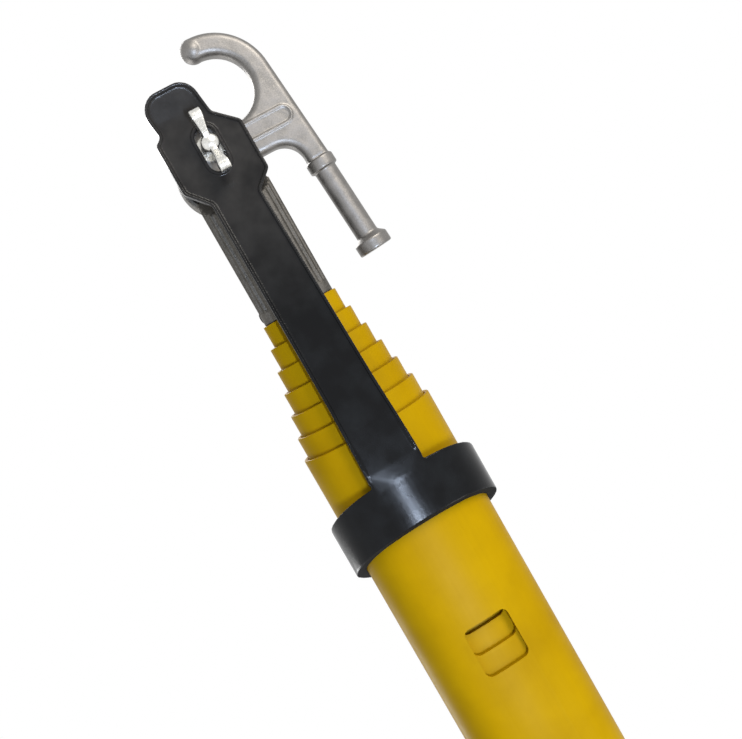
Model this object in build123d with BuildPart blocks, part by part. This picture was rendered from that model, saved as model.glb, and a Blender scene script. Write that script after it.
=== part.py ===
from build123d import *
from math import atan2, cos, degrees, hypot, radians, sin, tan
import os

# A telescopic hot stick: seven nested rounded-triangle tubes stand on the butt cap, and the tip
# carries a cast hook head. The origin is the centre of the butt's flat face, +Z runs up the stick,
# the hook and prong point to +X, and the windows, strap and wing bolt face -Y. Sizes are in mm.

# Tubes: the outline is a triangle of three corner circles joined by three gently convex faces
section_count = 7
tip_width = 40.0
corner_reach = 14.0
face_reach = 40.0
wall = 2.0
slip = 0.5
base_top = 1500.0
top_step = 11.0
glue_gap = 0.1
rim_break = 0.4

# Butt cap and the pad that the collapsed stack stands on
cap_floor = 8.0
cap_skirt_height = 42.0
cap_wall = 5.0
cap_edge = 2.0
cap_groove = 1.2
cap_groove_levels = (0.35, 0.5, 0.65)
pad_height = 26.0
pad_bore = 9.0
rest_gap = 0.3

# Windows near each tube's top, and the plug, button and bow spring at each inner tube's foot
window_width = 24.0
window_height = 26.0
window_corner = 3.2
window_below_top = 119.0
plug_flange = 5.0
plug_spigot = 45.0
plug_vent = 3.0
button_height_above_foot = 27.0
window_play = 0.6
button_play = 0.15
button_corner = 2.4
button_bore_gap = 0.25
button_depth = 8.5
button_lip = 1.5
button_lip_depth = 2.5
button_lip_setback = 3.2
spring_space = 6.5
spring_width = 11.0
spring_strip = 0.6
spring_length = 20.0
spring_gap = 0.05

# Tip adapter: spigot in the tip tube, ribbed shank, dished lug and serrated boss
bolt_above_tip = 86.0
pitch_plane = -2.0
spigot_length = 66.0
shank_inset = 1.3
shank_drop = 14.0
rib_groove = 0.9
rib_turns = (-36, -12, 12, 36)
rib_start = 6.0
dish_radius = 21.4
dish_drop = 9.5
dish_rim = 2.2
dish_depth = 3.5
dish_back = 11.0
boss_radius = 15.0
nut_boss_radius = 10.0
nut_boss_back = 16.0
shoulder_drop = 30.0
shoulder_rise = 12.0
pin_radius = 2.5
pin_sink = 0.6
pin_proud = 1.2
pin_above_tip = 4.5
pin_drops = (26.0, 52.0)

# Serrations between the lugs: teeth taper to the bolt's centre line, so the rings mesh all over
tooth_count = 24
tooth_height = 1.5
tooth_inner = 6.5
tooth_outer = 14.4
tooth_gap = 0.12

# Hook head, measured from the bolt's centre
hook_plane = -8.0
hook_thickness = 10.5
hook_soften = 3.4
hook_lug_radius = 14.5
hook_lug_setback = 1.1
mouth_x = 17.1
mouth_z = 22.6
mouth_radius = 17.2
bar_width = 11.3
tip_turn = 91.5
tip_radius = 6.2
mouth_end = -120.0
neck_under = -13.9
limb_inner = 38.5
limb_foot = -29.0
limb_fillet = 11.0
limb_lean = 5.0
panel_start = 12.0
panel_end = 43.5
panel_low = -6.2
panel_high = 3.0
panel_corner = 4.4
panel_frame = 1.0
panel_depth = 0.6
prong_lean = 3.8
prong_bury = 1.5
prong_radius = 5.7
prong_collar_radius = 7.25
prong_collar = 5.7
prong_length = 38.0
prong_flare = 2.6
prong_disc = 5.6
prong_disc_radius = 8.8
prong_soften = 0.7

# Wing bolt and washer
bolt_radius = 3.0
bolt_bore_gap = 0.3
thread_gap = 0.06
washer_radius = 6.4
washer_thickness = 1.6
seat_gap = 0.05
hub_radius = 4.4
hub_length = 13.0
hub_round = 1.6
wing_span = 31.5
wing_thickness = 3.2
wing_rise = 16.5
wing_root = 7.0
wing_tip_radius = 3.4
bolt_end = 14.0
bolt_chamfer = 0.8

# Rubber strap: collar, arm with lips, eight-sided head and pull tab
collar_wall = 5.8
collar_drop = 23.0
collar_height = 25.6
collar_tilt = 24.0
collar_gap = 0.05
strap_thickness = 3.6
strap_lip = 1.2
strap_lip_width = 1.5
strap_clear = 0.3
strap_offset = -1.5
strap_bend = 30.0
strap_bend_above = 3.0
strap_rest_below = 11.0
arm_foot_width = 29.0
arm_waist_width = 26.0
arm_waist_above = 21.0
arm_head_width = 23.8
head_width = 41.4
head_drop = 18.0
head_rise = 8.0
head_shoulder = 9.0
head_skew = 0.17
tab_width = 27.0
tab_rise = 32.5
tab_offset = -3.3
tab_lean = 2.8
tab_slope = 0.75
tab_round = 9.0
tab_bend_above = 17.0
tab_curl = 4.0
slot_width = 10.0
slot_length = 22.6
slot_lip = 1.6
slot_drop = 1.5
waist_round = 60.0
head_round = 3.0

# Worked out from the sizes above
base_width = tip_width + 2 * (section_count - 1) * (wall + slip)
cos30 = cos(radians(30))
face_half_turn = degrees(atan2(corner_reach * cos30, corner_reach / 2 + face_reach))
face_span = hypot(corner_reach * cos30, corner_reach / 2 + face_reach)


def corner_radius(inset):
    """Radius of the three corner circles of the outline that lies inset inside the base's."""
    return base_width / 2 - corner_reach * cos30 - inset


def front(inset):
    """How far the middle of a face stands from the stick's centre line."""
    return corner_radius(inset) + face_span - face_reach


def triangle(inset):
    """The stick's rounded-triangle outline, moved inward by inset all round."""
    with BuildSketch() as outline:
        with BuildLine():
            for turn in (0, 120, 240):
                face_centre = Vector(0, face_reach).rotate(Axis.Z, turn)
                corner_centre = Vector(0, -corner_reach).rotate(Axis.Z, turn + 60)
                CenterArc(face_centre, corner_radius(inset) + face_span,
                          270 - face_half_turn + turn, 2 * face_half_turn)
                CenterArc(corner_centre, corner_radius(inset),
                          270 + face_half_turn + turn, 120 - 2 * face_half_turn)
        make_face()
    return outline.sketch


def tube_inset(number):
    """Inward offset of a tube's outside. Tube 1 is the base."""
    return (number - 1) * (wall + slip)


def tube_top(number):
    return base_top + (number - 1) * top_step


def plug_foot(number):
    """Underside of the plug in tube 2, 3 and so on. Each plug stands on the one before."""
    stack = plug_flange + plug_spigot + rest_gap
    return cap_floor + pad_height + rest_gap + (number - 2) * stack


def tube_foot(number):
    return cap_floor if number == 1 else plug_foot(number) + plug_flange


def window_height_of(number):
    """Height of the middle of a tube's window."""
    return tube_top(number) - window_below_top


def button_height_of(number):
    return plug_foot(number) + button_height_above_foot


def tube_name(number):
    names = {1: "base_section", section_count: "tip_section"}
    return names.get(number, f"section_{number}")


def save(builder, name):
    """Labels a finished piece and writes it to its own file."""
    builder.part.label = name
    export_step(builder.part, f"parts/{name}.step")


os.makedirs("parts", exist_ok=True)

tip = section_count
tip_inset = tube_inset(tip)
tip_top = tube_top(tip)
bolt_height = tip_top + bolt_above_tip
pin_levels = [tip_top + pin_above_tip] + [tip_top - drop for drop in pin_drops]
button_half = window_width / 2 - window_play
button_rise = window_height / 2 - window_play

# Butt cap: a moulded rubber boot, whose floor carries the base tube and the pad
with BuildPart() as butt_cap:
    with BuildSketch():
        add(triangle(-cap_wall))
    extrude(amount=cap_skirt_height)
    fillet(butt_cap.edges().group_by(Axis.Z)[-1], cap_edge)
    chamfer(butt_cap.edges().group_by(Axis.Z)[0], cap_groove)
    with BuildSketch(Plane.XY.offset(cap_floor)):
        add(triangle(-glue_gap))
    extrude(amount=cap_skirt_height, mode=Mode.SUBTRACT)
    for level in cap_groove_levels:
        with BuildSketch(Plane.XY.offset(level * cap_skirt_height)):
            add(triangle(-cap_wall - cap_groove))
            add(triangle(-cap_wall + cap_groove), mode=Mode.SUBTRACT)
        extrude(amount=2 * cap_groove, mode=Mode.SUBTRACT)
save(butt_cap, "butt_cap")

with BuildPart() as butt_pad:
    with BuildSketch(Plane.XY.offset(cap_floor)):
        add(triangle(wall + slip))
        Circle(pad_bore, mode=Mode.SUBTRACT)
    extrude(amount=pad_height)
    chamfer(butt_pad.edges().group_by(Axis.Z)[-1], rim_break)
save(butt_pad, "butt_pad")

# Tubes
for number in range(1, section_count + 1):
    inset = tube_inset(number)
    foot = tube_foot(number)
    with BuildPart() as tube:
        with BuildSketch(Plane.XY.offset(foot)):
            add(triangle(inset))
        extrude(amount=tube_top(number) - foot)
        chamfer(tube.edges().group_by(Axis.Z)[-1], rim_break)
        with BuildSketch(Plane.XY.offset(foot)):
            add(triangle(inset + wall))
        extrude(amount=tube_top(number) - foot, mode=Mode.SUBTRACT)
        if number < section_count:
            with BuildSketch(Plane.XZ):
                with Locations((0, window_height_of(number))):
                    RectangleRounded(window_width, window_height, window_corner)
            extrude(amount=base_width, mode=Mode.SUBTRACT)
        if number > 1:
            with BuildSketch(Plane.XZ):
                with Locations((0, button_height_of(number))):
                    RectangleRounded(2 * (button_half + button_play), 2 * (button_rise + button_play),
                                     button_corner + button_play)
            extrude(amount=base_width, mode=Mode.SUBTRACT)
        if number == tip:
            for level in pin_levels:
                if level < tip_top:
                    with BuildSketch(Plane.YZ):
                        with Locations((0, level)):
                            Circle(pin_radius + thread_gap)
                    extrude(amount=base_width, both=True, mode=Mode.SUBTRACT)
    save(tube, tube_name(number))

# Plugs, buttons and bow springs, one set in the foot of each inner tube
for number in range(2, section_count + 1):
    inset = tube_inset(number)
    foot = plug_foot(number)
    middle = button_height_of(number)
    wall_inside = front(inset + wall)
    button_front = front(inset - slip) - button_bore_gap
    button_back = button_front - button_depth
    pocket_floor = button_back - spring_space
    lip_front = wall_inside - button_lip_setback

    with BuildPart() as plug:
        with BuildSketch(Plane.XY.offset(foot)):
            add(triangle(inset))
        extrude(amount=plug_flange)
        with BuildSketch(Plane.XY.offset(foot + plug_flange)):
            add(triangle(inset + wall + glue_gap))
        extrude(amount=plug_spigot)
        chamfer(plug.edges().group_by(Axis.Z)[-1], rim_break)
        with BuildSketch(Plane.XZ.offset(pocket_floor)):
            with Locations((0, middle)):
                RectangleRounded(2 * (button_half + button_lip + button_play),
                                 2 * (button_rise + button_lip + button_play), button_corner)
        extrude(amount=base_width, mode=Mode.SUBTRACT)
        with BuildSketch(Plane.XY.offset(foot)):
            with Locations((0, corner_reach / 2)):
                Circle(plug_vent)
        extrude(amount=plug_flange + plug_spigot, mode=Mode.SUBTRACT)
    save(plug, f"plug_{number}")

    with BuildPart() as button:
        with BuildSketch(Plane.XZ.offset(button_back)):
            with Locations((0, middle)):
                RectangleRounded(2 * button_half, 2 * button_rise, button_corner)
        extrude(amount=base_width)
        with BuildSketch(Plane.XZ.offset(lip_front - button_lip_depth)):
            with Locations((0, middle)):
                RectangleRounded(2 * (button_half + button_lip), 2 * (button_rise + button_lip), button_corner)
        extrude(amount=button_lip_depth)
        with BuildSketch(Plane.XY.offset(middle - button_rise - 2 * button_lip)):
            add(triangle(inset - slip + button_bore_gap))
        extrude(amount=2 * button_rise + 4 * button_lip, mode=Mode.INTERSECT)
    save(button, f"button_{number}")

    with BuildPart() as spring:
        with BuildSketch(Plane.YZ):
            with BuildLine():
                ends = (-pocket_floor - spring_gap - spring_strip / 2, spring_length / 2)
                crown = -button_back + spring_gap + spring_strip / 2
                ThreePointArc((ends[0], middle - ends[1]), (crown, middle), (ends[0], middle + ends[1]))
                offset(amount=spring_strip / 2)
            make_face()
        extrude(amount=spring_width / 2, both=True)
    save(spring, f"button_spring_{number}")

bolt_plane = Plane(origin=(0, 0, bolt_height), x_dir=(1, 0, 0), z_dir=(0, -1, 0))


def across(depth):
    """The plane square to the bolt at y = depth. It faces the front, with the bolt at its centre."""
    return bolt_plane.offset(-depth)


def serration(height):
    """A wedge along +X on the XY plane. It tapers towards the origin, so its flanks mesh all over."""
    with BuildPart() as wedge:
        for reach in (tooth_inner, tooth_outer):
            half_base = reach * tan(radians(90 / tooth_count))
            with BuildSketch(Plane.YZ.offset(reach)):
                with BuildLine():
                    Polyline((-half_base, 0), (0, height * reach / tooth_outer), (half_base, 0), close=True)
                make_face()
        loft(ruled=True)
    return wedge.part


ridge = serration(tooth_height / 2)
groove = mirror(ridge, about=Plane.XY)
half_pitch = 180 / tooth_count

# Tip adapter: a casting with a spigot in the tip tube, a ribbed shank, and a dished lug with a serrated boss
shank_outline = tip_inset + shank_inset
shank_top = bolt_height - shank_drop
shoulder_low = bolt_height - shoulder_drop
shoulder_high = shoulder_low + shoulder_rise
with BuildPart() as tip_adapter:
    with BuildSketch(Plane.XY.offset(tip_top - spigot_length)):
        add(triangle(tip_inset + wall + glue_gap))
    extrude(amount=spigot_length)
    with BuildSketch(Plane.XY.offset(tip_top)):
        add(triangle(shank_outline))
    extrude(amount=shank_top - tip_top)
    with BuildSketch(Plane.XY.offset(tip_top + rib_start)):
        for corner_turn in (60, 180, 300):
            for rib_turn in rib_turns:
                middle = Vector(0, -corner_reach).rotate(Axis.Z, corner_turn)
                spoke = Vector(0, -corner_radius(shank_outline)).rotate(Axis.Z, corner_turn + rib_turn)
                with Locations(middle + spoke):
                    Circle(rib_groove)
    extrude(amount=shank_top - tip_top, mode=Mode.SUBTRACT)
    with BuildSketch(Plane.YZ):
        with BuildLine():
            Polyline((-base_width, shoulder_low), (-front(shank_outline), shoulder_low),
                     (pitch_plane, shoulder_high), (pitch_plane, bolt_height), (-base_width, bolt_height),
                     close=True)
        make_face()
        with BuildLine():
            Polyline((base_width, shoulder_low), (base_width / 2, shoulder_low), (dish_back, shoulder_high),
                     (dish_back, bolt_height), (base_width, bolt_height), close=True)
        make_face()
    extrude(amount=base_width, both=True, mode=Mode.SUBTRACT)
    with BuildSketch(across(pitch_plane)):
        Circle(boss_radius)
        with Locations((0, -dish_drop)):
            Circle(dish_radius)
    extrude(amount=pitch_plane - dish_back)
    with BuildSketch(across(dish_back)):
        Circle(nut_boss_radius)
    extrude(amount=dish_back - nut_boss_back)
    with BuildSketch(across(pitch_plane)):
        with Locations((0, -dish_drop)):
            Circle(dish_radius - dish_rim)
        Circle(boss_radius, mode=Mode.SUBTRACT)
    extrude(amount=-dish_depth, mode=Mode.SUBTRACT)
    with Locations(across(pitch_plane)):
        with PolarLocations(0, tooth_count, half_pitch):
            add(groove, mode=Mode.SUBTRACT)
        with PolarLocations(0, tooth_count):
            add(ridge)
    with BuildSketch(across(pitch_plane - tooth_height)):
        Circle(bolt_radius + thread_gap)
    extrude(amount=-base_width, mode=Mode.SUBTRACT)
    for level in pin_levels:
        with BuildSketch(Plane.YZ):
            with Locations((0, level)):
                Circle(pin_radius + thread_gap)
        extrude(amount=base_width, both=True, mode=Mode.SUBTRACT)
save(tip_adapter, "tip_adapter")

# Cross pins. The lower two end just inside the tube's skin, and the upper one stands proud of the shank.
with BuildPart() as adapter_pins:
    for level in pin_levels:
        pin_outline = tip_inset + pin_sink if level < tip_top else shank_outline - pin_proud
        with BuildPart(mode=Mode.PRIVATE) as pin:
            with BuildSketch(Plane.YZ):
                with Locations((0, level)):
                    Circle(pin_radius)
            extrude(amount=base_width, both=True)
            with BuildSketch(Plane.XY.offset(level - 2 * pin_radius)):
                add(triangle(pin_outline))
            extrude(amount=4 * pin_radius, mode=Mode.INTERSECT)
        add(pin.part)
save(adapter_pins, "adapter_pins")

# Hook head: a flat casting with softened edges, then its lug, serrations, hook tip and prong
hook_front = hook_plane - hook_thickness / 2
hook_lug_front = hook_lug_setback - front(shank_outline)
mouth = Vector(mouth_x, mouth_z)
bar_outer = mouth_radius + bar_width
bar_end = mouth + Vector(mouth_radius + bar_width / 2, 0).rotate(Axis.Z, tip_turn)
limb_top = mouth + Vector(bar_outer, 0).rotate(Axis.Z, limb_lean)
limb_outer = limb_top.X + (limb_top.Y - limb_foot) * tan(radians(limb_lean))
lug_back = pitch_plane - tooth_gap
with BuildPart() as hook_head:
    with BuildSketch(across(hook_front)) as hook_outline:
        with BuildLine():
            rise = CenterArc(mouth, bar_outer, limb_lean, tip_turn - limb_lean)
            fall = CenterArc(mouth, mouth_radius, tip_turn, mouth_end - tip_turn)
            ThreePointArc(rise @ 1, bar_end + Vector(bar_width / 2, 0).rotate(Axis.Z, tip_turn + 90), fall @ 0)
            Polyline(fall @ 1, (0, 0), (0, neck_under), (limb_inner, neck_under), (limb_inner, limb_foot),
                     (limb_outer, limb_foot), rise @ 0)
        make_face()
        elbow = hook_outline.vertices().sort_by_distance((limb_inner, neck_under))[0]
        fillet(elbow, limb_fillet)
    extrude(amount=-hook_thickness)
    fillet(hook_head.faces().filter_by(Axis.Y).edges(), hook_soften)
    with BuildSketch(across(hook_lug_front)):
        Circle(hook_lug_radius)
    extrude(amount=hook_lug_front - lug_back)
    with Locations(across(hook_plane)):
        with Locations(bar_end):
            Sphere(tip_radius)
    with BuildSketch(across(hook_front)):
        with Locations(((panel_start + panel_end) / 2, (panel_low + panel_high) / 2)):
            RectangleRounded(panel_end - panel_start, panel_high - panel_low, panel_corner)
            RectangleRounded(panel_end - panel_start - 2 * panel_frame,
                             panel_high - panel_low - 2 * panel_frame, panel_corner - panel_frame,
                             mode=Mode.SUBTRACT)
    extrude(amount=panel_depth)
    prong_foot = across(hook_plane).from_local_coords(Vector((limb_inner + limb_outer) / 2, limb_foot))
    prong_plane = Plane(origin=prong_foot, x_dir=(1, 0, 0), z_dir=(0, -1, 0)).rotated((0, -prong_lean, 0))
    with BuildSketch(prong_plane) as prong_profile:
        with BuildLine():
            collar_end = prong_bury - prong_collar
            prong_end = collar_end - prong_length
            Polyline((0, prong_bury), (prong_collar_radius, prong_bury), (prong_collar_radius, collar_end),
                     (prong_radius, collar_end), (prong_radius, prong_end),
                     (prong_disc_radius, prong_end - prong_flare),
                     (prong_disc_radius, prong_end - prong_flare - prong_disc),
                     (0, prong_end - prong_flare - prong_disc), close=True)
        make_face()
        rim_corners = prong_profile.vertices().group_by(Axis.X)
        fillet(rim_corners[1] + rim_corners[2] + rim_corners[3], prong_soften)
    revolve(axis=Axis(prong_foot, prong_plane.y_dir))
    with Locations(Plane(origin=(0, lug_back, bolt_height), x_dir=(1, 0, 0), z_dir=(0, 1, 0))):
        with PolarLocations(0, tooth_count):
            add(groove, mode=Mode.SUBTRACT)
        with PolarLocations(0, tooth_count, half_pitch):
            add(ridge)
    with BuildSketch(across(hook_lug_front)):
        Circle(bolt_radius + bolt_bore_gap)
    extrude(amount=-base_width, mode=Mode.SUBTRACT)
save(hook_head, "hook_head")

# Washer and wing bolt, clamped on the hook's lug through the strap's slot
washer_back = hook_lug_front - seat_gap
hub_back = washer_back - washer_thickness - seat_gap
with BuildPart() as bolt_washer:
    with BuildSketch(across(washer_back)):
        Circle(washer_radius)
        Circle(bolt_radius + bolt_bore_gap, mode=Mode.SUBTRACT)
    extrude(amount=washer_thickness)
save(bolt_washer, "bolt_washer")

with BuildPart() as wing_bolt:
    with BuildSketch(across(bolt_end)):
        Circle(bolt_radius)
    extrude(amount=bolt_end - hub_back)
    chamfer(wing_bolt.edges().group_by(Axis.Y)[-1], bolt_chamfer)
    with BuildSketch(across(hub_back)):
        Circle(hub_radius)
    extrude(amount=hub_length)
    fillet(wing_bolt.edges().group_by(Axis.Y)[0], hub_round)
    for side in (-1, 1):
        with BuildSketch(Plane.YZ):
            with Locations((hub_back - wing_rise, bolt_height + side * (wing_span / 2 - wing_tip_radius))):
                Circle(wing_tip_radius)
            with Locations((hub_back - hub_length + wing_root / 2, bolt_height + side * wing_root / 2)):
                Circle(wing_root / 2)
            make_hull()
        extrude(amount=wing_thickness / 2, both=True)
save(wing_bolt, "wing_bolt")

# Rubber strap. The collar is drawn up at the front by the arm, so its band is tilted.
collar_front = -front(-collar_wall)
collar_front_top = base_top - collar_drop
with BuildPart() as strap_collar:
    with BuildSketch(Plane.XY.offset(collar_front_top - base_width)):
        add(triangle(-collar_wall))
        add(triangle(-collar_gap), mode=Mode.SUBTRACT)
    extrude(amount=2 * base_width)
    with BuildSketch(Plane.YZ):
        with BuildLine():
            drop = tan(radians(collar_tilt))
            near = collar_front - collar_wall
            far = base_width
            top_near = collar_front_top + drop * (collar_front - near)
            top_far = collar_front_top + drop * (collar_front - far)
            Polyline((near, top_near), (far, top_far), (far, top_far - collar_height),
                     (near, top_near - collar_height), close=True)
        make_face()
    extrude(amount=base_width, both=True, mode=Mode.INTERSECT)
save(strap_collar, "strap_collar")

strap_back = -front(0) - strap_clear
strap_hinge = strap_back - strap_thickness / 2
strap_foot = collar_front_top + strap_clear + strap_thickness / 2
head_back = hook_lug_front - seat_gap - washer_thickness - strap_clear
head_low = bolt_height - head_drop
head_high = bolt_height + head_rise
tab_top = bolt_height + tab_rise


def strap_rail(depth):
    """Side view of the strap's face that lies depth in front of its back."""
    return FilletPolyline((strap_back - depth, strap_foot), (strap_back - depth, base_top + strap_bend_above),
                          (head_back - depth, bolt_height - strap_rest_below),
                          (head_back - depth, bolt_height + tab_bend_above),
                          (head_back - tab_curl - depth, tab_top + strap_thickness), radius=strap_bend)


def strap_layer(near, far):
    """The part of the strap's thickness between two depths, wider than the strap itself."""
    with BuildPart() as layer:
        with BuildSketch(Plane.YZ):
            with BuildLine():
                back_rail = strap_rail(near)
                front_rail = strap_rail(far)
                Line(back_rail @ 0, front_rail @ 0)
                Line(back_rail @ 1, front_rail @ 1)
            make_face()
            if near == 0:
                with Locations((strap_hinge, strap_foot)):
                    Circle(strap_thickness / 2)
        extrude(amount=base_width, both=True)
    return layer.part


def strap_outline(edge):
    """Front view of the strap, moved inward by edge. Its head hangs lower on the hook's side."""
    corners = []
    for side in (1, -1):
        tab_side = side * tab_width / 2 + tab_offset
        tab_foot = head_high + tab_slope * (head_width / 2 - abs(tab_side))
        flank = [(side * arm_foot_width / 2, strap_foot - strap_thickness, 0, 1),
                 (side * arm_waist_width / 2, base_top + arm_waist_above, 0, waist_round),
                 (side * arm_head_width / 2, head_low - head_shoulder, 1, head_round),
                 (side * head_width / 2, head_low, 1, head_round),
                 (side * head_width / 2, head_high, 1, head_round),
                 (tab_side, tab_foot, 1, head_round),
                 (tab_side - tab_lean, tab_top, 0, tab_round)]
        corners += flank[::side]
    points = [(x + strap_offset, z - skewed * head_skew * x) for x, z, skewed, radius in corners]
    with BuildSketch(Plane.XZ) as outline:
        with BuildLine():
            FilletPolyline(*points, radius=[radius for x, z, skewed, radius in corners], close=True)
        make_face()
        if edge:
            offset(amount=-edge, mode=Mode.REPLACE)
    return outline.sketch


def strap_slot(edge):
    """The slot over the wing bolt, made wider by edge all round."""
    with BuildSketch(Plane.XZ) as slot:
        with Locations((0, bolt_height - slot_drop)):
            SlotOverall(slot_length + 2 * edge, slot_width + 2 * edge, rotation=90)
    return slot.sketch


with BuildPart() as strap_hollow:
    add(strap_layer(strap_thickness, strap_thickness + 2 * strap_lip))
    with BuildSketch(Plane.XZ):
        add(strap_outline(strap_lip_width))
        add(strap_slot(slot_lip), mode=Mode.SUBTRACT)
    extrude(amount=base_width, mode=Mode.INTERSECT)

with BuildPart() as strap_arm:
    add(strap_layer(0, strap_thickness + strap_lip))
    with BuildSketch(Plane.XZ):
        add(strap_outline(0))
        add(strap_slot(0), mode=Mode.SUBTRACT)
    extrude(amount=base_width, mode=Mode.INTERSECT)
    add(strap_hollow.part, mode=Mode.SUBTRACT)
save(strap_arm, "strap_arm")
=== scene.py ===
import math

import bmesh
import bpy
from mathutils import Matrix, Vector


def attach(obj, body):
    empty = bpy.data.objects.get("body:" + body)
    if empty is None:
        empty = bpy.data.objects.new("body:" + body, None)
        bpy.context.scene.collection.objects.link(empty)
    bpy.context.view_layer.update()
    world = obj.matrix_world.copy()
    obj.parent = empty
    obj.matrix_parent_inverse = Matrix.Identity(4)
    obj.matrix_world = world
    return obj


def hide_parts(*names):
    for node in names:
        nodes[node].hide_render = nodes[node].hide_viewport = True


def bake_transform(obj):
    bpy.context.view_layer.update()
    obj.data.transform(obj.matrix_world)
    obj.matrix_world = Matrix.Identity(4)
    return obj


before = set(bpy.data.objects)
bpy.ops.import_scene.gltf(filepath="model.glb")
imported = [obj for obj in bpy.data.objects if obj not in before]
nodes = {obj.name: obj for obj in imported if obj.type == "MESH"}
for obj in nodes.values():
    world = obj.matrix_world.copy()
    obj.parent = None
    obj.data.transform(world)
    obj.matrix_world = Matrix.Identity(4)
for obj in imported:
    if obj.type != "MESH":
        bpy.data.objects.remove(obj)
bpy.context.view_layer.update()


# Sections: seven nested tubes of glass fibre and polyester, drawn through a die and coated in gloss
# yellow. Each is a rounded triangle with a 2 mm wall. A window near the top takes the next tube's
# button, and a hole at the foot of each inner tube lets its own button out.
section_count = 7
base_width = 0.070
corner_reach = 0.014
face_reach = 0.040
wall = 0.002
slip = 0.0005
base_top = 1.5
top_step = 0.011
cap_floor = 0.008
pad_height = 0.026
plug_flange = 0.005
plug_stack = 0.0503
rest_gap = 0.0003
window_below_top = 0.119
window_size = (0.024, 0.026)
window_corner = 0.0032
window_corner_steps = 6
button_above_foot = 0.027
button_size = (0.0231, 0.0251)
rim_round = 0.00045
rim_steps = 4
sharpest_smooth_edge = math.radians(32)


def linear(code):
    """A colour for a shader from its sRGB hex value."""
    parts = [int(code[place:place + 2], 16) / 255 for place in (1, 3, 5)]
    return [part / 12.92 if part <= 0.04045 else ((part + 0.055) / 1.055) ** 2.4 for part in parts] + [1.0]


def join(node, inputs):
    """Gives a node's sockets, by name or number, a value, an output, or the first output of another node."""
    for socket, value in inputs.items():
        if isinstance(value, bpy.types.Node):
            value = value.outputs[0]
        if isinstance(value, bpy.types.NodeSocket):
            node.id_data.links.new(value, node.inputs[socket])
        else:
            node.inputs[socket].default_value = value


def add(tree, kind, inputs=(), stops=(), **settings):
    """Adds a node with its settings, with inputs as join takes them, and with the stops of a colour ramp."""
    made = tree.nodes.new(kind)
    for name, value in settings.items():
        setattr(made, name, value)
    join(made, dict(inputs))
    for number, (position, colour) in enumerate(stops):
        made.color_ramp.elements[number].position = position
        made.color_ramp.elements[number].color = linear(colour)
    return made


def new_material(name):
    """Makes a material, and gives it with its node tree, its shader and the place on the piece."""
    made = bpy.data.materials.new(name)
    made.use_nodes = True
    tree = made.node_tree
    return made, tree, tree.nodes["Principled BSDF"], add(tree, "ShaderNodeTexCoord").outputs["Object"]


def in_scene(name, data):
    """An object for a mesh, curve, camera or lamp, linked to the scene."""
    made = bpy.data.objects.new(name, data)
    bpy.context.scene.collection.objects.link(made)
    return made


def coat(piece, material):
    """Gives a piece one material in place of those it had."""
    piece.data.materials.clear()
    piece.data.materials.append(material)


def plain(maker, name, material):
    """Turns an object and its modifiers into a plain mesh of one material."""
    evaluated = maker.evaluated_get(bpy.context.evaluated_depsgraph_get())
    mesh = bpy.data.meshes.new_from_object(evaluated)
    bpy.data.objects.remove(maker)
    piece = in_scene(name, mesh)
    coat(piece, material)
    return piece


def finished(maker, name, material, body_name, *replaced):
    """Makes an object a plain mesh that rides on a body in place of CAD nodes."""
    piece = plain(maker, name, material)
    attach(piece, body_name)
    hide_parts(*replaced)
    return piece


def outline(inset, steps_face=22, steps_corner=18):
    """Points of the stick's rounded-triangle outline, moved inward by inset all round."""
    across = corner_reach * math.cos(math.radians(30))
    along = corner_reach / 2 + face_reach
    corner_radius = base_width / 2 - across - inset
    half_turn = math.atan2(across, along)
    span = math.hypot(across, along)
    corner_swing = math.radians(120) - 2 * half_turn
    points = []
    for side in range(3):
        turn = Matrix.Rotation(math.radians(120 * side), 3, "Z")
        corner_turn = Matrix.Rotation(math.radians(120 * side + 60), 3, "Z")
        for step in range(steps_face):
            angle = math.radians(270) - half_turn + 2 * half_turn * step / steps_face
            arm = (corner_radius + span) * Vector((math.cos(angle), math.sin(angle), 0))
            points.append(turn @ Vector((0, face_reach, 0)) + turn @ arm)
        for step in range(steps_corner):
            angle = math.radians(210) + half_turn + corner_swing * step / steps_corner
            arm = corner_radius * Vector((math.cos(angle), math.sin(angle), 0))
            points.append(corner_turn @ (Vector((0, -corner_reach, 0)) + arm))
    return points


glass_fibre, tree, shader, place = new_material("gloss_yellow_glass_fibre")
# The die leaves fine lines along the tube, about 1 mm apart. They show as faint streaks in the gloss.
streak_spacing = 0.001
streaks_per_metre = 6
drawn = add(tree, "ShaderNodeMapping", {
    "Vector": place, "Scale": (1 / streak_spacing, 1 / streak_spacing, streaks_per_metre)})
streaks = add(tree, "ShaderNodeTexNoise", {"Vector": drawn, "Scale": 0.9, "Detail": 3, "Roughness": 0.6})
# Handling leaves duller, slightly browner patches, 20 to 60 mm across, and has taken most of the shine
patches_per_metre = 28
patches = add(tree, "ShaderNodeTexNoise", {
    "Vector": place, "Scale": patches_per_metre, "Detail": 4, "Roughness": 0.55})
mixed = add(tree, "ShaderNodeMix", {0: 0.12, 2: patches, 3: streaks})
tone = add(tree, "ShaderNodeValToRGB", {"Fac": mixed}, stops=((0.3, "#A47F02"), (0.65, "#B48E02")))
dull = add(tree, "ShaderNodeMapRange", {
    "Value": mixed, "From Min": 0.3, "From Max": 0.7, "To Min": 0.44, "To Max": 0.34})
relief = add(tree, "ShaderNodeBump", {"Height": streaks, "Strength": 0.1, "Distance": 0.00008})
join(shader, {"Base Color": tone, "Roughness": dull, "Normal": relief, "Specular IOR Level": 0.04})

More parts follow.
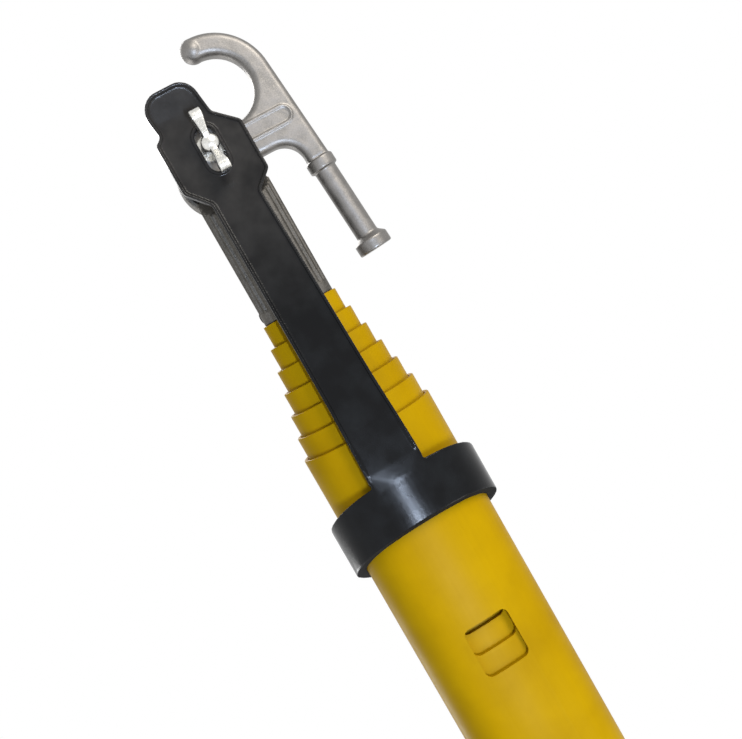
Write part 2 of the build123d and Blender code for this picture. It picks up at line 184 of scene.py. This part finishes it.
# One tree makes every tube: the wall's section is swept round the outline, and the two openings are cut
tube_tree = bpy.data.node_groups.new("drawn_tube", "GeometryNodeTree")
tube_tree.interface.new_socket("Outline", in_out="INPUT", socket_type="NodeSocketGeometry")
for name in ("Foot", "Top", "Window", "Button hole"):
    tube_tree.interface.new_socket(name, in_out="INPUT", socket_type="NodeSocketFloat")
tube_tree.interface.new_socket("Tube", in_out="OUTPUT", socket_type="NodeSocketGeometry")
given = add(tube_tree, "NodeGroupInput").outputs
height = add(tube_tree, "ShaderNodeMath", {0: given["Top"], 1: given["Foot"]}, operation="SUBTRACT")
twice_middle = add(tube_tree, "ShaderNodeMath", {0: given["Top"], 1: given["Foot"]}, operation="ADD")
middle = add(tube_tree, "ShaderNodeMath", {0: twice_middle, 1: 0.5}, operation="MULTIPLY")
middle_place = add(tube_tree, "ShaderNodeCombineXYZ", {"Z": middle})
section = add(tube_tree, "GeometryNodeCurvePrimitiveQuadrilateral", {"Width": wall, "Height": height})
rounded = add(tube_tree, "GeometryNodeFilletCurve", {
    "Curve": section, "Radius": rim_round, "Count": rim_steps}, mode="POLY")
upright = add(tube_tree, "GeometryNodeSetCurveNormal", {"Curve": given["Outline"]}, mode="Z_UP")
swept = add(tube_tree, "GeometryNodeCurveToMesh", {"Curve": upright, "Profile Curve": rounded})
body = add(tube_tree, "GeometryNodeTransform", {"Geometry": swept, "Translation": middle_place})
for level, size in (("Window", window_size), ("Button hole", button_size)):
    edge = add(tube_tree, "GeometryNodeCurvePrimitiveQuadrilateral", {"Width": size[0], "Height": size[1]})
    round_edge = add(tube_tree, "GeometryNodeFilletCurve", {
        "Curve": edge, "Radius": window_corner, "Count": window_corner_steps}, mode="POLY")
    filled = add(tube_tree, "GeometryNodeFillCurve", {"Curve": round_edge}, mode="NGONS")
    pushed = add(tube_tree, "GeometryNodeExtrudeMesh", {"Mesh": filled, "Offset Scale": base_width})
    turned_back = add(tube_tree, "GeometryNodeFlipFaces", {"Mesh": filled})
    closed = add(tube_tree, "GeometryNodeJoinGeometry")
    for part in (pushed, turned_back):
        join(closed, {0: part})
    sealed = add(tube_tree, "GeometryNodeMergeByDistance", {"Geometry": closed})
    spot = add(tube_tree, "ShaderNodeCombineXYZ", {"Z": given[level]})
    cutter = add(tube_tree, "GeometryNodeTransform", {
        "Geometry": sealed, "Translation": spot, "Rotation": (math.radians(90), 0, 0)})
    body = add(tube_tree, "GeometryNodeMeshBoolean", {"Mesh 1": body, "Mesh 2": cutter},
               operation="DIFFERENCE", solver="MANIFOLD")
bend = add(tube_tree, "GeometryNodeInputMeshEdgeAngle")
sharp = add(tube_tree, "FunctionNodeCompare", {0: bend, 1: sharpest_smooth_edge}, operation="GREATER_THAN")
smooth = add(tube_tree, "GeometryNodeSetShadeSmooth", {"Geometry": body, "Shade Smooth": True})
creased = add(tube_tree, "GeometryNodeSetShadeSmooth", {
    "Geometry": smooth, "Selection": sharp, "Shade Smooth": False}, domain="EDGE")
single = add(tube_tree, "GeometryNodeRealizeInstances", {"Geometry": creased})
coated = add(tube_tree, "GeometryNodeSetMaterial", {"Geometry": single, "Material": glass_fibre})
add(tube_tree, "NodeGroupOutput", {0: coated})

for number in range(1, section_count + 1):
    node_name = {1: "base_section", section_count: "tip_section"}.get(number, f"section_{number}")
    body_name = {1: "root", section_count: "tip"}.get(number, f"section_{number}")
    plug_foot = cap_floor + pad_height + rest_gap + (number - 2) * plug_stack
    top = base_top + (number - 1) * top_step
    # Below the stick nothing is cut: the tip has no window, and the base no button
    uncut = -1.0
    sizes = {"Foot": cap_floor if number == 1 else plug_foot + plug_flange, "Top": top,
             "Window": top - window_below_top if number < section_count else uncut,
             "Button hole": plug_foot + button_above_foot if number > 1 else uncut}
    path = bpy.data.curves.new(f"{node_name}_outline", "CURVE")
    path.dimensions = "3D"
    spline = path.splines.new("POLY")
    ring = outline((number - 1) * (wall + slip) + wall / 2)
    spline.points.add(len(ring) - 1)
    for point, place in zip(spline.points, ring):
        point.co = (*place, 1)
    spline.use_cyclic_u = True
    tube = in_scene(f"{node_name}_path", path)
    modifier = tube.modifiers.new("drawn_tube", "NODES")
    modifier.node_group = tube_tree
    for item in tube_tree.interface.items_tree:
        if item.in_out == "INPUT" and item.name in sizes:
            modifier[item.identifier] = sizes[item.name]
    drawn_tube = finished(tube, f"{node_name}_tube", glass_fibre, body_name, node_name)


# Butt cap and pad: a moulded rubber boot over the foot of the base tube, and a rubber pad inside it
# that the nested tubes land on. Use has scuffed the rubber grey in patches.
cap_rubber, tree, shader, place = new_material("moulded_black_rubber")
# Dust and scuffs lie in clouds about 15 mm across, over a mould grain of 0.4 mm
clouds_per_metre = 65
grain_size = 0.0004
clouds = add(tree, "ShaderNodeTexNoise", {
    "Vector": place, "Scale": clouds_per_metre, "Detail": 5, "Roughness": 0.6})
grain = add(tree, "ShaderNodeTexNoise", {"Vector": place, "Scale": 1 / grain_size, "Detail": 2})
dust = add(tree, "ShaderNodeValToRGB", {"Fac": clouds}, stops=((0.35, "#1B1B1C"), (0.75, "#333230")))
worn = add(tree, "ShaderNodeMapRange", {"Value": clouds, "To Min": 0.55, "To Max": 0.8})
relief = add(tree, "ShaderNodeBump", {"Height": grain, "Strength": 0.3, "Distance": 0.0001})
join(shader, {"Base Color": dust, "Roughness": worn, "Normal": relief})
for name in ("butt_cap", "butt_pad"):
    coat(nodes[name], cap_rubber)


# Plugs, buttons and springs: each inner tube ends in a turned black nylon plug, glued in. An acetal
# button slides in it on a bow of spring steel. Red is the usual colour of such a button.
def solid_colour(name, dark, light, grain_size, roughness, metallic=0.0):
    """A plain moulded or rolled material, mottled between two colours at a grain size in metres."""
    unevenness = 0.08
    made, tree, shader, place = new_material(name)
    mottle = add(tree, "ShaderNodeTexNoise", {"Vector": place, "Scale": 1 / grain_size, "Detail": 4})
    colour = add(tree, "ShaderNodeValToRGB", {"Fac": mottle}, stops=((0.3, dark), (0.7, light)))
    worn = add(tree, "ShaderNodeMapRange", {
        "Value": mottle, "To Min": roughness - unevenness, "To Max": roughness + unevenness})
    relief = add(tree, "ShaderNodeBump", {"Height": mottle, "Strength": 0.2, "Distance": 0.00005})
    join(shader, {"Base Color": colour, "Roughness": worn, "Normal": relief, "Metallic": metallic})
    return made


turned_nylon = solid_colour("turned_black_nylon", "#161616", "#262626", grain_size=0.002, roughness=0.5)
red_acetal = solid_colour("moulded_red_acetal", "#8E1F14", "#A3281A", grain_size=0.0015, roughness=0.38)
spring_steel = solid_colour("blued_spring_steel", "#5A5E66", "#7A7E84", grain_size=0.001, roughness=0.35,
                            metallic=1.0)
for number in range(2, section_count + 1):
    coat(nodes[f"plug_{number}"], turned_nylon)
    coat(nodes[f"button_{number}"], red_acetal)
    coat(nodes[f"button_spring_{number}"], spring_steel)


# Tip adapter: an aluminium sand casting with long ribs, held in the tip tube by three dull steel pins.
# Its colour is darker and its skin grittier than the hook's, and every edge is round.
same_point = 1e-6


def even_out(blank, voxel, rounds):
    """Remakes a blank from even cells and rounds off its edges."""
    remesh = blank.modifiers.new("even", "REMESH")
    remesh.mode = "VOXEL"
    remesh.voxel_size = voxel
    remesh.use_smooth_shade = True
    smooth = blank.modifiers.new("rounded", "SMOOTH")
    smooth.factor = 0.5
    smooth.iterations = rounds


def softened(node_name, name, voxel, rounds):
    """A copy of a CAD node with its edges rounded, as casting and moulding leave them."""
    mesh = nodes[node_name].data.copy()
    merged = bmesh.new()
    merged.from_mesh(mesh)
    bmesh.ops.remove_doubles(merged, verts=merged.verts, dist=same_point)
    merged.to_mesh(mesh)
    merged.free()
    blank = in_scene(name, mesh)
    even_out(blank, voxel, rounds)
    return blank


def cast_metal(name, dark, light, grit, roughness, bite):
    """Sand-cast aluminium: a skin pitted by the sand grains, grit metres across, over slow unevenness."""
    # The mould's wall leaves swells about 6 mm across
    swell_size = 0.00625
    unevenness = 0.06
    made, tree, shader, place = new_material(name)
    sand = add(tree, "ShaderNodeTexNoise", {
        "Vector": place, "Scale": 1 / grit, "Detail": 3, "Roughness": 0.65})
    swell = add(tree, "ShaderNodeTexNoise", {"Vector": place, "Scale": 1 / swell_size, "Detail": 2})
    mixed = add(tree, "ShaderNodeMix", {0: 0.35, 2: sand, 3: swell})
    colour = add(tree, "ShaderNodeValToRGB", {"Fac": mixed}, stops=((0.36, dark), (0.6, light)))
    worn = add(tree, "ShaderNodeMapRange", {
        "Value": swell, "From Min": 0.3, "From Max": 0.7,
        "To Min": roughness - unevenness, "To Max": roughness + unevenness})
    pits = add(tree, "ShaderNodeBump", {"Height": sand, "Strength": bite, "Distance": 0.0002})
    waves = add(tree, "ShaderNodeBump", {
        "Height": swell, "Strength": 0.35, "Distance": 0.0006, "Normal": pits})
    join(shader, {"Base Color": colour, "Roughness": worn, "Normal": waves, "Metallic": 1.0})
    return made


rough_casting = cast_metal("darker_gritty_cast_aluminium", "#4B4945", "#67645F", grit=0.0007, roughness=0.58, bite=0.5)
adapter = finished(softened("tip_adapter", "adapter_blank", voxel=0.0005, rounds=3), "adapter_casting",
                   rough_casting, "tip", "tip_adapter")
dull_steel = solid_colour("dull_pin_steel", "#2B2A29", "#45423E", grain_size=0.0008, roughness=0.5,
                          metallic=1.0)
coat(nodes["adapter_pins"], dull_steel)


# Hook head: one aluminium sand casting, tumbled bright, with a flat arm that ends in the round hook
# on one side and in the prong on the other. A raised frame stands on its neck.
tumbled_casting = cast_metal("tumbled_cast_aluminium", "#757370", "#878481", grit=0.0006, roughness=0.46,
                             bite=0.1)
hook = finished(softened("hook_head", "hook_blank", voxel=0.0004, rounds=3), "hook_casting", tumbled_casting,
                "hook", "hook_head")


# Wing bolt and washer: bright zinc-plated steel. The hub's face is domed, and the forged wings widen
# towards their rounded tips.
bright_zinc = solid_colour("bright_zinc_plate", "#C9C8C3", "#E4E3DE", grain_size=0.0009, roughness=0.26,
                           metallic=1.0)
coat(nodes["bolt_washer"], bright_zinc)
bolt_height = 1.652
hub_radius = 0.0044
dome_start = -0.0271
dome_rise = 0.0014
wing_reach = 0.013
wing_spread = 0.7
bolt = finished(softened("wing_bolt", "bolt_blank", voxel=0.0003, rounds=3), "forged_wing_bolt", bright_zinc,
                "wing_bolt", "wing_bolt")
for vertex in bolt.data.vertices:
    level = vertex.co.z - bolt_height
    share = min(max((abs(level) - hub_radius) / (wing_reach - hub_radius), 0), 1)
    vertex.co.x *= 1 + wing_spread * share * share * (3 - 2 * share)
    off_centre = math.hypot(vertex.co.x, level) / hub_radius
    if off_centre < 1 and vertex.co.y < dome_start:
        vertex.co.y -= dome_rise * (1 - off_centre * off_centre)


# Strap: one moulding in black natural rubber. A tight collar grips the base tube, and the lipped arm
# reaches up to the wing bolt, where its slotted head is pulled over the wings by the tab.
strap_rubber, tree, shader, place = new_material("glossy_black_strap_rubber")
# A fine mould grain of 0.5 mm, slow waves of 12 mm, and faint dust that stays in the waves
grain_size = 0.0005
wave_size = 0.0125
grain = add(tree, "ShaderNodeTexNoise", {"Vector": place, "Scale": 1 / grain_size, "Detail": 2})
waves = add(tree, "ShaderNodeTexNoise", {"Vector": place, "Scale": 1 / wave_size, "Detail": 3})
dust = add(tree, "ShaderNodeValToRGB", {"Fac": waves}, stops=((0.4, "#08090B"), (0.7, "#111315")))
# Towards the head and the tab the colour is painted lighter grey: a painted sheen for the light those faces
# catch, with some dust
painted_sheen_low = 1.56
painted_sheen_high = 1.67
level = add(tree, "ShaderNodeSeparateXYZ", {"Vector": place}).outputs["Z"]
painted_sheen_rise = add(tree, "ShaderNodeMapRange", {
    "Value": level, "From Min": painted_sheen_low, "From Max": painted_sheen_high, "To Max": 1.7})
share = add(tree, "ShaderNodeMath", {0: painted_sheen_rise, 1: waves}, operation="MULTIPLY", use_clamp=True)
# A lighter grey is mixed in there, painted sheen with some dust, stronger where the waves are high
dust_and_painted_sheen = add(tree, "ShaderNodeMixRGB", {"Fac": share, "Color1": dust, "Color2": linear("#33312F")})
worn = add(tree, "ShaderNodeMapRange", {
    "Value": waves, "From Min": 0.3, "From Max": 0.7, "To Min": 0.17, "To Max": 0.25})
# The faces that point down were trimmed after moulding and are matt
normal = add(tree, "ShaderNodeTexCoord").outputs["Normal"]
upward = add(tree, "ShaderNodeSeparateXYZ", {"Vector": normal}).outputs["Z"]
trimmed = add(tree, "ShaderNodeMapRange", {
    "Value": upward, "From Min": -0.45, "From Max": -0.85, "To Max": 0.85})
matt = add(tree, "ShaderNodeMath", {0: worn, 1: trimmed}, operation="MAXIMUM")
fine = add(tree, "ShaderNodeBump", {"Height": grain, "Strength": 0.06, "Distance": 0.0001})
slow = add(tree, "ShaderNodeBump", {"Height": waves, "Strength": 0.15, "Distance": 0.0008, "Normal": fine})
join(shader, {"Base Color": dust_and_painted_sheen, "Roughness": matt, "Normal": slow, "Specular IOR Level": 0.16})

strap_mesh = bpy.data.meshes.new("strap_blank")
blank = bmesh.new()
for name in ("strap_collar", "strap_arm"):
    blank.from_mesh(nodes[name].data)
# The arm's root is a wedge that leads the arm's floor down to the bowed front of the collar, between the
# ends of the two lips. Each point of a side view has a share of the collar's bow.
root_middle = -0.0015
root_foot = 1.4735
root_taper = 2.0
root_steps = 10
root_half_width = 0.0142
lip_inside = 0.0130
lip_outside = 0.0145
collar_bow_radius = 0.0772
root_profile = ((-0.0325, 1.4640, 1), (-0.0364, 1.4620, 1), (-0.0373, 1.4745, 1), (-0.0370, 1.4820, 0.3),
                (-0.0353, 1.5030, 0), (-0.0320, 1.5030, 0))
lip_profile = ((-0.0330, 1.4775, 0.5), (-0.0366, 1.4785, 0.5), (-0.0376, 1.4850, 0.3), (-0.0365, 1.5030, 0),
               (-0.0320, 1.5030, 0))
for low, high, profile in ((-root_half_width, root_half_width, root_profile),
                           (-lip_outside, -lip_inside, lip_profile), (lip_inside, lip_outside, lip_profile)):
    corners = []
    for step in range(root_steps + 1):
        for y, z, bowed in profile:
            x = root_middle + (low + step / root_steps * (high - low)) * (1 - root_taper * (z - root_foot))
            corners.append(blank.verts.new((x, y + bowed * x * x / (2 * collar_bow_radius), z)))
    bmesh.ops.convex_hull(blank, input=corners)
bmesh.ops.remove_doubles(blank, verts=blank.verts, dist=same_point)
# The mesh is made even while it stands askew, so that the cells' steps don't run along its straight edges
askew = Matrix.Rotation(math.radians(33), 4, "Y") @ Matrix.Rotation(math.radians(27), 4, "X")
blank.transform(askew)
blank.to_mesh(strap_mesh)
blank.free()
strap_blank = in_scene("strap_blank", strap_mesh)
even_out(strap_blank, voxel=0.00042, rounds=8)
thinned = strap_blank.modifiers.new("thinned", "DECIMATE")
thinned.ratio = 0.45
strap = plain(strap_blank, "rubber_strap", strap_rubber)
strap.data.transform(askew.inverted())
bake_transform(strap)
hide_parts("strap_collar", "strap_arm")


# Camera: it looks at the head of the upright stick from the front, a little from the left and above,
# and is rolled so that the stick runs from the lower right to the upper left of the picture.
view_turn = math.radians(-8.0)
view_rise = math.radians(4.0)
view_roll = math.radians(29.63)
view_angle = math.radians(40)
view_distance = 0.506
view_target = (0.0165, 1.5221)
level_right = Vector((math.cos(view_turn), math.sin(view_turn), 0))
backward = Vector((math.sin(view_turn) * math.cos(view_rise), -math.cos(view_turn) * math.cos(view_rise),
                   math.sin(view_rise)))
level_up = backward.cross(level_right)
right = math.cos(view_roll) * level_right - math.sin(view_roll) * level_up
up = math.sin(view_roll) * level_right + math.cos(view_roll) * level_up
lens = bpy.data.cameras.new("studio_camera")
lens.angle = view_angle
camera = in_scene("studio_camera", lens)
stand = Matrix((right, up, backward)).transposed().to_4x4()
stand.translation = view_target[0] * level_right + Vector((0, 0, view_target[1])) + view_distance * backward
camera.matrix_world = stand
bpy.context.scene.camera = camera


# Studio: a pale floor that the stick stands on, a large soft lamp high on the right, a tall narrow one
# in front that draws the line of light on the rubber, and weaker ones on the left, low down and behind.
# The white background is seen by the camera and in gloss and clear things, and adds no other light.
floor_reach = 1.1
floor_drop = 0.0002
floor_mesh = bpy.data.meshes.new("studio_floor")
floor_sides = ((-1, -1), (1, -1), (1, 1), (-1, 1))
floor_corners = [(x * floor_reach, y * floor_reach, -floor_drop) for x, y in floor_sides]
floor_mesh.from_pydata(floor_corners, [], [(0, 1, 2, 3)])
floor = in_scene("studio_floor", floor_mesh)
paint, tree, shader, place = new_material("pale_studio_paint")
# Rolled on by hand, in coats that vary over about 30 cm
clouds_per_metre = 3
cloud = add(tree, "ShaderNodeTexNoise", {"Vector": place, "Scale": clouds_per_metre})
shade = add(tree, "ShaderNodeValToRGB", {"Fac": cloud}, stops=((0, "#E6E5E2"), (1, "#EDECE9")))
join(shader, {"Base Color": shade, "Roughness": 0.85})
# The floor thins out into the white background 0.5 to 1.05 m from the stick
away = add(tree, "ShaderNodeVectorMath", {0: place}, operation="LENGTH").outputs["Value"]
fade = add(tree, "ShaderNodeMapRange", {"Value": away, "From Min": 0.5, "From Max": 1.05},
           interpolation_type="SMOOTHSTEP")
clear = add(tree, "ShaderNodeBsdfTransparent")
thinning = add(tree, "ShaderNodeMixShader", {0: fade, 1: shader, 2: clear})
join(tree.nodes["Material Output"], {0: thinning})
coat(floor, paint)

world = bpy.data.worlds.new("studio")
world.use_nodes = True
tree = world.node_tree
light_path = add(tree, "ShaderNodeLightPath")
seen = light_path.outputs["Is Camera Ray"]
for ray in ("Is Glossy Ray", "Is Transmission Ray"):
    seen = add(tree, "ShaderNodeMath", {0: seen, 1: light_path.outputs[ray]}, operation="MAXIMUM")
ambient = tree.nodes["Background"]
join(ambient, {"Color": linear("#F6FAFF"), "Strength": 0.4})
white = add(tree, "ShaderNodeBackground", {"Color": linear("#FFFFFF"), "Strength": 1.0})
choice = add(tree, "ShaderNodeMixShader", {0: seen, 1: ambient, 2: white})
join(tree.nodes["World Output"], {0: choice})
bpy.context.scene.world = world

for name, place, aim, size, power, colour in (
        ("key_lamp", (0.75, -1.1, 2.35), (0.0, 0.0, 1.55), (0.7, 0.7), 17.0, "#FFF8EE"),
        ("strip_lamp", (0.03, -1.5, 1.0), (0.0, 0.0, 1.45), (0.05, 0.45), 16.0, "#D6E6FF"),
        ("low_lamp", (0.8, -1.0, 0.4), (0.0, 0.0, 0.4), (0.5, 0.8), 7.0, "#FFF8EE"),
        ("fill_lamp", (-1.0, -0.7, 1.5), (0.0, 0.0, 1.5), (1.2, 1.2), 0.9, "#EAF2FF"),
        ("back_lamp", (-0.3, 1.3, 2.3), (0.0, 0.0, 1.5), (0.8, 0.8), 12.0, "#FFFFFF"),
        ("low_back_lamp", (-1.0, 1.0, 0.6), (0.0, 0.0, 0.6), (0.6, 1.0), 11.0, "#FFFFFF")):
    light = bpy.data.lights.new(name, "AREA")
    light.energy = power
    light.shape = "RECTANGLE"
    light.size, light.size_y = size
    light.color = linear(colour)[:3]
    lamp = in_scene(name, light)
    direction = Vector(aim) - Vector(place)
    lamp.matrix_world = Matrix.Translation(place) @ direction.to_track_quat("-Z", "Y").to_matrix().to_4x4()
bpy.context.scene.view_settings.view_transform = "Standard"
